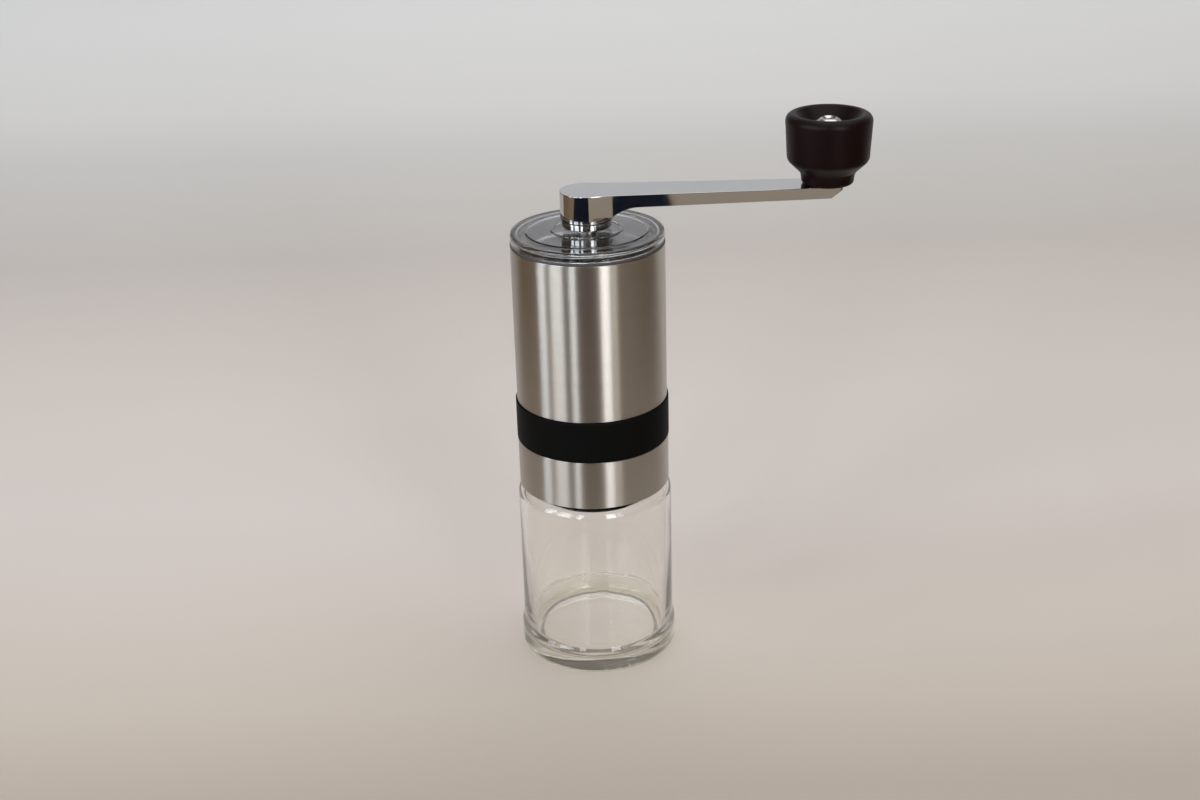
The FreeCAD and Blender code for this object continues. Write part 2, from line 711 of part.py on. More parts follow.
def adjusting_nut():
    """A star wheel with a pocket for its brass insert, and bumps that click into the plate above."""
    bore = SHAFT_THREAD_R + NUT_BORE_ROOM
    wheel = turned([
        (bore, nut_z),
        (NUT_R, nut_z, SOFT_EDGE),
        (NUT_R, nut_top, SOFT_EDGE),
        (bore, nut_top),
    ])
    scallop = disc(NUT_SCALLOP, nut_z, nut_top, NUT_R + NUT_SCALLOP / 2)
    pocket = hexagon(INSERT_FLATS, nut_z, nut_z + INSERT_HEIGHT)
    wheel = wheel.cut(around(scallop, CLICKS, 180 / CLICKS) + [pocket])
    ball = Part.makeSphere(BUMP_R, Vector(CLICK_CIRCLE, 0, nut_top + BUMP_HEIGHT - BUMP_R))
    bump = ball.common(disc(BUMP_R, nut_top - BUMP_HEIGHT, nut_top + BUMP_HEIGHT, CLICK_CIRCLE))
    return wheel.fuse(around(bump, BUMPS))


def nut_insert():
    body = hexagon(INSERT_FLATS - 2 * SEATED, nut_z, nut_z + INSERT_HEIGHT)
    return body.cut(disc(SHAFT_THREAD_R + RUNNING, nut_z, nut_z + INSERT_HEIGHT))


def drive_shaft():
    thread_top = nut_top + THREAD_SPARE
    flats_top = lower_bush_z - FLATS_BELOW
    foot = turned([
        (0, nut_z - FOOT_BELOW),
        (SHAFT_THREAD_R, nut_z - FOOT_BELOW, SHAFT_CHAMFER),
        (SHAFT_THREAD_R, thread_top),
        (0, thread_top),
    ])
    flats = two_flats(SHAFT_R, SHAFT_FLATS, thread_top, flats_top)
    collar_r = SHAFT_R + COLLAR_PROUD
    bar = turned([
        (0, flats_top),
        (SHAFT_R, flats_top),
        (SHAFT_R, collar_z),
        (collar_r, collar_z, FINE_EDGE),
        (collar_r, collar_z + COLLAR_THICK, EDGE),
        (SHAFT_R, collar_z + COLLAR_THICK),
        (SHAFT_R, hex_z),
        (0, hex_z),
    ])
    chamfer_cone = turned([
        (0, hex_z),
        (HEX_FLATS, hex_z),
        (HEX_FLATS, shaft_top - HEX_FLATS / 2),
        (HEX_FLATS / 2, shaft_top),
        (0, shaft_top),
    ])
    return foot.fuse([flats, bar, hexagon(HEX_FLATS, hex_z, shaft_top).common(chamfer_cone)])


def washer(low):
    return ring(bore_r, washer_r, low, low + WASHER_THICK)


def burr_spring():
    """The wire runs from the carrier's stem up to the washer under the lower bush."""
    radius = SHAFT_R + SPRING_ROOM + WIRE_R
    low = stem_top + WIRE_R + SEATED
    high = lower_bush_z - WASHER_THICK - WIRE_R - SEATED
    pitch = (high - low) / SPRING_TURNS
    path = Part.makeHelix(pitch, high - low, radius)
    path.translate(Vector(0, 0, low))
    heading = Vector(0, 2 * math.pi * radius, pitch)
    circle = Part.Circle(Vector(radius, 0, low), heading, WIRE_R)
    halves = [Part.Arc(circle, start, start + math.pi).toShape() for start in (0, math.pi)]
    return Part.Wire(path.Edges).makePipeShell([Part.Wire(halves)], True, True)


def lid():
    skirt_top = rim_top + LID_SKIRT
    plate_z = lid_top - LID_PLATE
    disc_r = plug_r - PLUG_WALL
    disc_top = lid_top + LID_DISC_RISE
    ring_top = lid_top + LID_RING_RISE
    ring_in = LID_RING_R - LID_RING_WALL
    hole_r = SHAFT_R + LID_HOLE_ROOM
    return turned([
        (hole_r, plate_z, FINE_EDGE),
        (disc_r, plate_z, SOFT_EDGE),
        (disc_r, plate_z - PLUG_DEPTH, EDGE),
        (plug_r, plate_z - PLUG_DEPTH, SOFT_EDGE),
        (plug_r, skirt_top, EDGE),
        (lid_r - LID_SKIRT_WALL, skirt_top, EDGE),
        (lid_r - LID_SKIRT_WALL, rim_top, FINE_EDGE),
        (lid_r, rim_top, EDGE),
        (lid_r, lid_top, SOFT_EDGE),
        (disc_r + LID_DISC_RISE, lid_top, FINE_EDGE),
        (disc_r, disc_top, FINE_EDGE),
        (LID_RING_R + LID_RING_SLOPE, disc_top, FINE_EDGE),
        (LID_RING_R, ring_top, FINE_EDGE),
        (ring_in, ring_top, FINE_EDGE),
        (ring_in - LID_RING_SLOPE, disc_top, FINE_EDGE),
        (hole_r, disc_top, FINE_EDGE),
    ])


def crank_plan():
    """The crank from above: the round hub runs out through hollow curves into the tapering arm."""
    tip = CRANK_R + ARM_TIP
    taper = (arm_half - ARM_TIP_HALF) / CRANK_R
    angle = math.atan(taper)
    along = Vector(math.cos(angle), -math.sin(angle), 0)
    outward = Vector(math.sin(angle), math.cos(angle), 0)
    offset = arm_half * math.cos(angle)
    reach = math.sqrt((HUB_R + HUB_BLEND) ** 2 - (offset + HUB_BLEND) ** 2)
    centre = along * reach + outward * (offset + HUB_BLEND)
    on_hub = centre * (HUB_R / centre.Length)
    on_arm = along * reach + outward * offset
    between = on_hub + on_arm - centre * 2
    middle = centre + between.normalize() * HUB_BLEND
    side = arm_half - taper * tip
    shoulder = arm_half - taper * (tip - TIP_ROUND)
    curve_in = TIP_ROUND * (1 - math.sqrt(0.5))

    def mirrored(point):
        return Vector(point.x, -point.y, 0)

    tip_curve = (
        Vector(tip - TIP_ROUND, shoulder, 0),
        Vector(tip - curve_in, side - curve_in, 0),
        Vector(tip, side - TIP_ROUND, 0),
    )
    upper = [(on_hub, middle, on_arm), (on_arm, None, tip_curve[0]), tip_curve]
    lower = [
        (mirrored(end), mirrored(through) if through else None, mirrored(start))
        for start, through, end in reversed(upper)
    ]
    end_face = (tip_curve[2], None, mirrored(tip_curve[2]))
    round_hub = (mirrored(on_hub), Vector(-HUB_R, 0, 0), on_hub)
    edges = []
    for start, through, end in upper + [end_face] + lower + [round_hub]:
        curve = Part.Arc(start, through, end) if through else Part.LineSegment(start, end)
        edges.append(curve.toShape())
    return Part.Face(Part.Wire(edges))


def crank_side():
    """The crank from the side: flat on top, a curve down into the hub, and a slanted end."""
    tip = CRANK_R + ARM_TIP
    under_neck = arm_top - ARM_THICK
    curve_start = HUB_R - NECK_INSET
    curve_r = (NECK_RUN ** 2 + NECK_DROP ** 2) / (2 * NECK_DROP)
    half_turn = math.asin(NECK_RUN / curve_r) / 2
    width = 4 * HUB_R

    def at(u, z):
        return Vector(u, -width / 2, z)

    start = at(curve_start, under_neck - NECK_DROP)
    end = at(curve_start + NECK_RUN, under_neck)
    middle = at(end.x - curve_r * math.sin(half_turn), end.z - curve_r * (1 - math.cos(half_turn)))
    corners = [
        end,
        at(tip - TIP_SLANT, arm_top - ARM_TIP_THICK),
        at(tip, arm_top - TIP_EDGE),
        at(tip, arm_top),
        at(-2 * HUB_R, arm_top),
        at(-2 * HUB_R, start.z),
        start,
    ]
    edges = [Part.LineSegment(a, b).toShape() for a, b in zip(corners, corners[1:])]
    edges.append(Part.Arc(start, middle, end).toShape())
    return Part.Face(Part.Wire(edges)).extrude(Vector(0, width, 0))


def crank_arm():
    foot_r = HUB_R - HUB_FOOT_INSET
    foot_top = hub_z + HUB_FOOT_HEIGHT
    hub = turned([
        (0, hub_z),
        (foot_r, hub_z, EDGE),
        (foot_r, foot_top, FINE_EDGE),
        (HUB_R, foot_top + HUB_STEP, FINE_EDGE),
        (HUB_R, arm_top),
        (0, arm_top),
    ])
    plan = crank_plan()
    plan.translate(Vector(0, 0, hub_z))
    arm = plan.extrude(Vector(0, 0, HUB_HEIGHT)).common(crank_side())
    body = arm.fuse(hub).removeSplitter()
    top = [edge for edge in body.Edges if edge.BoundBox.ZMin > arm_top - SEATED]
    body = body.makeFillet(CRANK_EDGE, top)
    socket = hexagon(HEX_FLATS + 2 * SOCKET_ROOM, hub_z, shaft_top)
    return body.cut([socket, disc(KNOB_SCREW_R, arm_top - ARM_THICK, arm_top, CRANK_R)])


def at_knob(shape):
    """Places a shape that was made on the Z axis on the knob's axis, on top of the arm."""
    shape.translate(Vector(CRANK_R, 0, arm_top))
    return shape


def knob():
    bore = knob_bush_r + KNOB_RUNNING
    return at_knob(turned([
        (bore, LOOSE),
        (KNOB_FOOT_R, LOOSE, KNOB_FOOT_ROUND),
        (KNOB_NECK_R, KNOB_NECK_Z, KNOB_NECK_ROUND),
        (KNOB_NECK_R + KNOB_SHOULDER_PROUD, KNOB_SHOULDER_Z, KNOB_SHOULDER_ROUND),
        (KNOB_R - KNOB_LOW_INSET, KNOB_LOW_Z, KNOB_BELLY_ROUND),
        (KNOB_R, KNOB_TOP, KNOB_RIM_ROUND),
        (KNOB_R - KNOB_RIM_WIDTH, KNOB_TOP - KNOB_RIM_DIP, KNOB_RIM_IN_ROUND),
        (DISH_R, DISH_Z, DISH_ROUND),
        (bore, DISH_Z, FINE_EDGE),
    ]))


def knob_bush():
    return at_knob(ring(KNOB_SCREW_R + SEATED, knob_bush_r, 0, DISH_Z + 2 * LOOSE))


def knob_washer():
    low = DISH_Z + 2 * LOOSE
    outside = KNOB_SCREW_HEAD_R + KNOB_WASHER_PROUD
    return at_knob(ring(KNOB_SCREW_R + SEATED, outside, low, low + WASHER_THICK))


def knob_screw():
    seat = DISH_Z + 2 * LOOSE + WASHER_THICK
    top = seat + KNOB_SCREW_RISE
    head = turned([
        (0, seat),
        (KNOB_SCREW_HEAD_R, seat, FINE_EDGE),
        (KNOB_SCREW_HEAD_R, seat + KNOB_SCREW_EDGE_HEIGHT, FINE_EDGE),
        (KNOB_SCREW_DOME_R, top, KNOB_SCREW_DOME_ROUND),
        (0, top),
    ])
    shank = disc(KNOB_SCREW_R - SEATED, -KNOB_SCREW_REACH, seat)
    socket = hexagon(SOCKET_FLATS, top - SOCKET_DEPTH, top)
    mouth_depth = SOCKET_MOUTH_R - SOCKET_FLATS / 2
    mouth = Part.makeCone(SOCKET_FLATS / 2, SOCKET_MOUTH_R, mouth_depth, Vector(0, 0, top - mouth_depth))
    return at_knob(head.fuse(shank).cut([socket, mouth]))


save("glass_jar", glass_jar())
save("jar_gasket", jar_gasket())
save("grinding_head", grinding_head())
save("lower_sleeve", lower_sleeve())
save("grip_band", grip_band())
save("upper_sleeve", upper_sleeve())
save("hopper", hopper())
save("lower_bridge", lower_bridge())
save("lower_bush", flanged_bush(lower_bush_z))
save("upper_bridge", upper_bridge())
save("upper_bush", flanged_bush(upper_bush_z))
save("housing_screws", *housing_screws())
save("outer_burr", outer_burr())
save("burr_retainer", burr_retainer())
save("retainer_screws", *retainer_screws())
save("lid", lid())
save("drive_shaft", drive_shaft())
save("thrust_washer", washer(collar_z - WASHER_THICK))
save("spring_washer", washer(lower_bush_z - WASHER_THICK))
save("burr_spring", burr_spring())
save("inner_burr", inner_burr())
save("burr_carrier", burr_carrier())
save("click_plate", click_plate())
save("adjusting_nut", adjusting_nut())
save("nut_insert", nut_insert())
save("crank_arm", crank_arm())
save("knob", knob())
save("knob_bush", knob_bush())
save("knob_washer", knob_washer())
save("knob_screw", knob_screw())
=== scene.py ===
# %% [markdown]
# # A manual coffee grinder
# The grinder stands on a thick glass jar. Above it come a brushed steel ring, a black silicone band
# and a tall brushed steel tube round the bean hopper, with a clear lid, a chromed crank and a dark
# knob on top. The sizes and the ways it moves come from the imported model, so the first cell loads
# that model. All lengths in Blender are metres. The stage below is written in metres, and the
# object's own sizes in millimetres.

# %% Load the frame
import json
import math

import bmesh
import bpy
from mathutils import Euler, Matrix, Vector


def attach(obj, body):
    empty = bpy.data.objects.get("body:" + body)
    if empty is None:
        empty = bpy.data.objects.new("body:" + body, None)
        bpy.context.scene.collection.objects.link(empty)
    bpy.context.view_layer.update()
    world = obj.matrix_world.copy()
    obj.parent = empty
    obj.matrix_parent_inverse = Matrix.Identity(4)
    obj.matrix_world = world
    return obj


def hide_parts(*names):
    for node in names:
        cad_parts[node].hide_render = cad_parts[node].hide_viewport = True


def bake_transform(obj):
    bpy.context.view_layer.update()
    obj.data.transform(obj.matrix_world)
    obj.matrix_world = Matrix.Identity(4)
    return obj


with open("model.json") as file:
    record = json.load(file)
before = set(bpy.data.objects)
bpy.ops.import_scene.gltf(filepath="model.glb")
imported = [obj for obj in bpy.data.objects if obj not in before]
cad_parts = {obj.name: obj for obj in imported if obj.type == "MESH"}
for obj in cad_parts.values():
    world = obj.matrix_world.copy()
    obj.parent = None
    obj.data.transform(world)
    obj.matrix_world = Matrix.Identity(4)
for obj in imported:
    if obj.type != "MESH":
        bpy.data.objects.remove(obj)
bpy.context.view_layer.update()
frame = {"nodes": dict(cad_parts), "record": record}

MM = 0.001
PER_METRE = 1 / MM
nodes = frame["nodes"]
slot_of = {part["node"]: part["material_slot"] for part in frame["record"]["subparts"]}

# %% [markdown]
# ## Colours as written
# Blender can bend the colours of a render to look like film. The plain transform, called Standard,
# shows each colour as the light makes it, so the values below can be compared with what is seen.

# %% View transform
bpy.context.scene.view_settings.view_transform = "Standard"
print("view transform", bpy.context.scene.view_settings.view_transform)

# %% [markdown]
# ## The camera
# The photograph was taken from a little above, with a moderately long lens, so the upright sides of
# the grinder run almost parallel. A camera could also be aimed with a constraint, but place, tilt,
# turn and roll are four numbers, and written out they keep the view exactly where it was measured.

# %% Camera
VIEW_FROM = Vector((0.0, -610.6, 375.0)) * MM
VIEW_DOWN = math.radians(23.51)
VIEW_TURN = math.radians(-0.29)
VIEW_ROLL = math.radians(-1.63)
LENS = 49.75
SENSOR_WIDTH = 36.0
NEAREST_SEEN = 0.01


def add_camera():
    camera = bpy.data.objects.new("camera", bpy.data.cameras.new("camera"))
    camera.data.lens = LENS
    camera.data.sensor_width = SENSOR_WIDTH
    camera.data.clip_start = NEAREST_SEEN
    aim = Euler((math.pi / 2 - VIEW_DOWN, 0.0, VIEW_TURN)).to_matrix()
    roll = Matrix.Rotation(VIEW_ROLL, 3, "Z")
    camera.matrix_world = Matrix.Translation(VIEW_FROM) @ (aim @ roll).to_4x4()
    bpy.context.collection.objects.link(camera)
    bpy.context.scene.camera = camera
    return camera


print("camera", add_camera().matrix_world.translation)

# %% [markdown]
# ## Floor and backdrop
# The grinder stands on a pale, slightly pink sheet that curves up behind it. A sheet in one piece,
# called a sweep, has no line where floor and wall meet, and its colour can drift from the warm
# floor to the cooler wall. It is only the stage, so it isn't part of the object.

# %% Sweep
SWEEP_HALF = 4.0
SWEEP_FRONT = -4.0
SWEEP_BACK = 1.15
SWEEP_ROUND = 0.9
SWEEP_TOP = 3.0
SWEEP_STEPS = 24
# rows of points across the flat part, so that its smooth shading stays flat under the grinder
SWEEP_ROWS = (-1.0, 0.0)


def add_sweep():
    round_from = SWEEP_BACK - SWEEP_ROUND
    line = [(y, 0.0) for y in (SWEEP_FRONT, *SWEEP_ROWS, round_from)]
    for step in range(1, SWEEP_STEPS + 1):
        turn = math.pi / 2 * step / SWEEP_STEPS
        line.append((
            round_from + SWEEP_ROUND * math.sin(turn), SWEEP_ROUND * (1 - math.cos(turn))
        ))
    line.append((SWEEP_BACK, SWEEP_TOP))
    points = [(x, y, z) for y, z in line for x in (-SWEEP_HALF, SWEEP_HALF)]
    faces = [(2 * i, 2 * i + 1, 2 * i + 3, 2 * i + 2) for i in range(len(line) - 1)]
    mesh = bpy.data.meshes.new("sweep")
    mesh.from_pydata(points, [], faces)
    mesh.shade_smooth()
    sweep = bpy.data.objects.new("sweep", mesh)
    bpy.context.collection.objects.link(sweep)
    return sweep


sweep = add_sweep()
print("sweep", sweep.dimensions)

# %% [markdown]
# ## Helpers for node trees
# Every finish is a small tree of shader nodes. A few helpers keep the later cells short: one adds a
# node with its values, two add the nodes that come back most, a product and a change of range, and
# one starts a material with a single Principled shader.

# %% Node helpers
def add_node(tree, kind, inputs=None, **settings):
    """Adds a node, sets its properties, and sets or links its inputs by name or number."""
    node = tree.nodes.new(kind)
    for name, value in settings.items():
        setattr(node, name, value)
    for name, value in (inputs or {}).items():
        if isinstance(value, bpy.types.NodeSocket):
            tree.links.new(value, node.inputs[name])
        else:
            node.inputs[name].default_value = value
    return node


def maths(tree, operation, *values):
    """The output of one Math node."""
    return add_node(
        tree, "ShaderNodeMath", dict(enumerate(values)), operation=operation
    ).outputs[0]


def between(tree, value, low, high, first=0.0, last=1.0):
    """A number that goes from first to last while the value goes from low to high."""
    return add_node(tree, "ShaderNodeMapRange", {
        "Value": value, "From Min": low, "From Max": high, "To Min": first, "To Max": last,
    }).outputs[0]


def start_material(name, **inputs):
    """A material with one Principled shader; the inputs are its plain values."""
    material = bpy.data.materials.new(name)
    material.use_nodes = True
    tree = material.node_tree
    shader = tree.nodes["Principled BSDF"]
    for socket, value in inputs.items():
        shader.inputs[socket.replace("_", " ")].default_value = value
    return material, tree, shader


def add_ramp(tree, place, stops):
    """The colour of a ramp at a place between 0 and 1. Its stops are (place, colour)."""
    ramp = add_node(tree, "ShaderNodeValToRGB", {"Fac": place})
    elements = ramp.color_ramp.elements
    while len(elements) < len(stops):
        elements.new(0.5)
    for element, (position, colour) in zip(elements, stops):
        element.position = position
        element.color = (*colour, 1.0)
    return ramp.outputs["Color"]


finish = {}
print("node helpers ready")

# %% [markdown]
# ## Paper of the sweep
# Seen from the camera the sheet is a warm, faintly pink grey that turns cooler and lighter up the
# wall, and darker towards the front. A gradient along the sheet paints this fall of light into its
# colour: painted shade towards the front, painted light up the wall, and a darker band where the
# floor starts to turn up. Its place is depth plus height, which keeps growing from the front of the
# floor to the wall's top.

# %% Paper
PAPER_NEAR = -0.6
PAPER_FAR = 1.6
# the sheet's warm grey with painted light and shade in it: darker towards the front, lighter up the
# wall
PAPER_TONE_AND_LIGHT = (
    (0.0, (0.377, 0.328, 0.279)),
    (0.223, (0.443, 0.381, 0.325)),
    (0.25, (0.543, 0.479, 0.415)),
    (0.286, (0.611, 0.548, 0.493)),
    (0.33, (0.660, 0.599, 0.559)),
    (0.387, (0.673, 0.615, 0.571)),
    (0.42, (0.644, 0.585, 0.542)),
    (0.488, (0.556, 0.511, 0.478)),
    (0.524, (0.568, 0.542, 0.511)),
    (0.56, (0.592, 0.580, 0.555)),
    (0.596, (0.675, 0.664, 0.645)),
    (0.654, (0.708, 0.707, 0.692)),
    (1.0, (0.703, 0.708, 0.722)),
)


def paper_material():
    material, tree, shader = start_material("paper", Roughness=0.9, Specular_IOR_Level=0.2)
    place = add_node(tree, "ShaderNodeTexCoord")
    parts = add_node(tree, "ShaderNodeSeparateXYZ", {"Vector": place.outputs["Object"]})
    depth = maths(tree, "ADD", parts.outputs["Y"], parts.outputs["Z"])
    along = between(tree, depth, PAPER_NEAR, PAPER_FAR)
    # painted light and shade: the ramp darkens the front of the sheet and lightens the wall
    tree.links.new(add_ramp(tree, along, PAPER_TONE_AND_LIGHT), shader.inputs["Base Color"])
    return material


sweep.data.materials.append(paper_material())
print("paper on", sweep.name)

# %% [markdown]
# ## Room
# The reflections in the photograph show a dim, warm room with a pale ceiling. That room is the
# world here: a gradient from the floor's brown up to a cool grey, which metal and glass mirror
# where no lamp is. A picture of a room could do this too, but four colours are easy to change.

# %% Room
ROOM_COLOURS = (
    (0.0, (0.060, 0.042, 0.026)),
    (0.35, (0.075, 0.055, 0.037)),
    (0.7, (0.30, 0.293, 0.286)),
    (1.0, (0.41, 0.417, 0.43)),
)


def add_room():
    """A dim warm room, lighter towards its ceiling."""
    world = bpy.data.worlds.new("room")
    bpy.context.scene.world = world
    world.use_nodes = True
    tree = world.node_tree
    place = add_node(tree, "ShaderNodeTexCoord")
    parts = add_node(tree, "ShaderNodeSeparateXYZ", {"Vector": place.outputs["Generated"]})
    colour = add_ramp(tree, parts.outputs["Z"], ROOM_COLOURS)
    tree.links.new(colour, tree.nodes["Background"].inputs["Color"])
    return world


print("room", add_room().name)

# %% [markdown]
# ## Windows
# The windows stood to the left and behind the camera. Tall windows are what draws the upright
# streaks on the steel, so the scene has tall soft panels in the same directions. They are area
# lamps, because their place, width and glow can each be set by number.

# %% Windows
WINDOW_AWAY = 1.25
WINDOW_TALL = 1.15
WINDOW_FOOT = 0.08

# azimuth from the camera's side in degrees, width in degrees, glow, colour
WINDOWS = {
    "window_far_left": (-72.0, 12.0, 5.4, (0.84, 0.91, 1.0)),
    "window_left": (-48.0, 19.0, 4.7, (0.92, 0.95, 1.0)),
    "window_near_left": (-24.0, 8.5, 5.5, (0.91, 0.95, 1.0)),
    "window_right": (23.0, 13.0, 7.05, (0.96, 0.97, 1.0)),
    "window_far_right": (36.5, 8.0, 2.25, (1.0, 0.96, 0.91)),
}


def add_panel(name, wide, tall, glow):
    """A soft rectangular lamp; glow is how bright its surface is, whatever its size."""
    light = bpy.data.lights.new(name, "AREA")
    light.shape = "RECTANGLE"
    light.size = wide
    light.size_y = tall
    light.energy = glow * math.pi * light.size * light.size_y
    panel = bpy.data.objects.new(name, light)
    panel.visible_camera = False
    bpy.context.collection.objects.link(panel)
    return panel


def add_window(name, azimuth, width, glow, colour):
    """An upright soft panel that faces the grinder."""
    wide = 2 * WINDOW_AWAY * math.tan(math.radians(width) / 2)
    panel = add_panel(name, wide, WINDOW_TALL, glow)
    panel.data.color = colour
    turn = math.radians(azimuth)
    panel.location = (
        WINDOW_AWAY * math.sin(turn), -WINDOW_AWAY * math.cos(turn), WINDOW_FOOT + WINDOW_TALL / 2
    )
    panel.rotation_euler = (math.pi / 2, 0.0, turn)
    return panel


for name, values in WINDOWS.items():
    print(name, add_window(name, *values).location)

# %% [markdown]
# ## Overhead panel
# The pale ceiling sends light straight down, which keeps the floor even and the shadow soft. One
# wide panel overhead stands for it. It hangs a little to the right, because the windows light the
# floor more from the left.

# %% Overhead panel
OVERHEAD_SIDE = 1.6
OVERHEAD_GLOW = 1.47
OVERHEAD_PLACE = (0.4, 0.1, 1.7)


def add_overhead():
    panel = add_panel("overhead", OVERHEAD_SIDE, OVERHEAD_SIDE, OVERHEAD_GLOW)
    panel.location = OVERHEAD_PLACE
    return panel


print("overhead", add_overhead().location)

# %% [markdown]
# ## Dark cards
# Chrome and brushed steel look like metal only if they have something dark to mirror. A studio lays
# dark cards just outside the picture for this, and so does this scene. Like the lamps, they don't
# show in the picture, and they cast no shadow.

# %% Cards
CARD_HEIGHT = 0.001

# left, front, right and back on the floor, then colour
FLOOR_CARDS = {
    "card_front": (-0.53, -0.95, 0.10, -0.30, (0.008, 0.010, 0.016)),
    "card_near": (-0.53, -0.30, 0.10, -0.14, (0.21, 0.141, 0.087)),
    "card_middle": (0.10, -0.95, 0.25, -0.14, (0.31, 0.255, 0.195)),
    "card_right": (0.25, -0.95, 1.10, 0.25, (0.21, 0.138, 0.08)),
    "card_left": (-1.20, -0.95, -0.53, 0.80, (0.21, 0.141, 0.087)),
    "card_beside": (-0.53, -0.14, -0.25, 0.80, (0.23, 0.157, 0.096)),
}
# the upright card runs from its first place on the floor to its second, then height and colour
WALL_CARD = ((-0.95, -0.05), (-0.45, 1.00), 1.4, (0.178, 0.118, 0.07))


def add_card(name, corners, colour):
    mesh = bpy.data.meshes.new(name)
    mesh.from_pydata(corners, [], [(0, 1, 2, 3)])
    mesh.materials.append(start_material(
        name, Base_Color=(*colour, 1.0), Roughness=0.9, Specular_IOR_Level=0.0
    )[0])
    card = bpy.data.objects.new(name, mesh)
    card.visible_camera = False
    card.visible_diffuse = False
    card.visible_shadow = False
    bpy.context.collection.objects.link(card)
    return card


for name, (left, front, right, back, colour) in FLOOR_CARDS.items():
    corners = [(left, front), (right, front), (right, back), (left, back)]
    add_card(name, [(x, y, CARD_HEIGHT) for x, y in corners], colour)

start, end, tall, colour = WALL_CARD
add_card("card_wall", [(*start, 0.0), (*end, 0.0), (*end, tall), (*start, tall)], colour)
print("cards", len(FLOOR_CARDS) + 1)

# %% [markdown]
# ## Shared effects
# A few effects come back in many finishes, such as the fine lines of brushing, the fine grain of
# moulded plastic, and the faint smudges that handling leaves on a polished surface. Each is a node
# group with named inputs, so a finish only says how coarse and how strong.

# %% Group helper
def start_group(name, inputs, outputs):
    """A shader node group with named float inputs and named outputs."""
    group = bpy.data.node_groups.new(name, "ShaderNodeTree")
    for label, value in inputs.items():
        socket = group.interface.new_socket(label, in_out="INPUT", socket_type="NodeSocketFloat")
        socket.default_value = value
    for label in outputs:
        group.interface.new_socket(label, in_out="OUTPUT", socket_type="NodeSocketFloat")
    return group, group.nodes.new("NodeGroupInput"), group.nodes.new("NodeGroupOutput")


def noise_at(tree, vector, scale, **more):
    """The value of a Noise texture; more names its other inputs."""
    return add_node(
        tree, "ShaderNodeTexNoise", {"Vector": vector, "Scale": scale, **more}
    ).outputs["Fac"]


print("group helpers ready")

# %% [markdown]
# ## Brushing
# A brushed tube was turned against an abrasive belt, which leaves fine lines round it, none of them
# the whole way. Noise that is stretched round the Z axis and squeezed along it gives such lines.
# Wave textures were left out, because their lines would all be complete rings.

# %% Brushing
BAND_SCALE = 0.08
SKEW_SCALE = 1.7
TILT_SCALE = 60.0


def brushing_group():
    """Fine lines round the Z axis: noise that changes slowly round the tube and fast along it."""
    group, given, result = start_group(
        "brushing", {"Lines": 2500.0, "Drift": 25.0}, ["Lines", "Bands", "Skew", "Tilt"]
    )
    place = add_node(group, "ShaderNodeTexCoord")
    stretch = add_node(group, "ShaderNodeCombineXYZ", {
        "X": given.outputs["Drift"], "Y": given.outputs["Drift"], "Z": given.outputs["Lines"],
    })
    fine = add_node(group, "ShaderNodeVectorMath", {
        0: place.outputs["Object"], 1: stretch.outputs[0],
    }, operation="MULTIPLY").outputs[0]
    wide = add_node(group, "ShaderNodeVectorMath", {
        0: fine, "Scale": BAND_SCALE,
    }, operation="SCALE").outputs[0]
    group.links.new(noise_at(group, fine, 1.0, Detail=3.0, Roughness=0.6), result.inputs["Lines"])
    group.links.new(noise_at(group, fine, SKEW_SCALE, Detail=2.0), result.inputs["Skew"])
    group.links.new(noise_at(group, fine, TILT_SCALE, Detail=0.0), result.inputs["Tilt"])
    group.links.new(noise_at(group, wide, 1.0, Detail=2.0), result.inputs["Bands"])
    return group


brushing = brushing_group()
print("group", brushing.name)

# %% [markdown]
# ## Grain
# Moulded plastic and rubber have a spark-eroded grain from their mould, and the ceramic burrs are
# slightly uneven from firing. Two noises of different size give both: one for the grain, one for a
# slow drift of colour and gloss over the whole piece.

# %% Grain
DRIFT_SCALE = 60.0


def grain_group():
    """The slight grain of a moulded surface, and a slow drift of its shade. Size is in mm."""
    group, given, result = start_group("grain", {"Size": 0.15}, ["Height", "Drift"])
    place = add_node(group, "ShaderNodeTexCoord").outputs["Object"]
    scale = maths(group, "DIVIDE", PER_METRE, given.outputs["Size"])
    group.links.new(noise_at(group, place, scale, Detail=2.0), result.inputs["Height"])
    group.links.new(noise_at(group, place, DRIFT_SCALE, Detail=3.0), result.inputs["Drift"])
    return group


grain = grain_group()
print("group", grain.name)

# %% [markdown]
# ## Smudges
# Clear and polished pieces are handled, so fingers leave faint, softer patches. The patches only
# change the roughness. A painted image could show a real fingerprint, but at this scale noise with
# a soft threshold looks the same from every side.

# %% Smudges
SMUDGE_FROM = 0.48
SMUDGE_FULL = 0.75


def smudge_group():
    """Roughness of a polished surface with faint smudges on it. Size is in mm."""
    group, given, result = start_group(
        "smudges", {"Polish": 0.05, "Smudge": 0.05, "Size": 12.0}, ["Roughness"]
    )
    place = add_node(group, "ShaderNodeTexCoord").outputs["Object"]
    scale = maths(group, "DIVIDE", PER_METRE, given.outputs["Size"])
    noise = noise_at(group, place, scale, Detail=4.0, Distortion=0.6)
    mask = between(group, noise, SMUDGE_FROM, SMUDGE_FULL)
    rough = maths(group, "MULTIPLY_ADD", mask, given.outputs["Smudge"], given.outputs["Polish"])
    group.links.new(rough, result.inputs["Roughness"])
    return group


smudges = smudge_group()
print("group", smudges.name)

# %% [markdown]
# ## Pressed glass
# The jar is pressed and blown in an iron mould, so its wall has slow waves and the outside of its
# heel has small domes. The glass is clear but looks olive where it is thick. Modelled domes would
# cost many faces on a surface that bends light anyway, so they are bump, and the tint follows the
# height and radius that the thick heel has. The knurled ring under the floor shows as a dark dotted
# line where floor and wall meet. That line is painted shade: a dark, dotted tint in the inside
# corner, with a mask of its own.

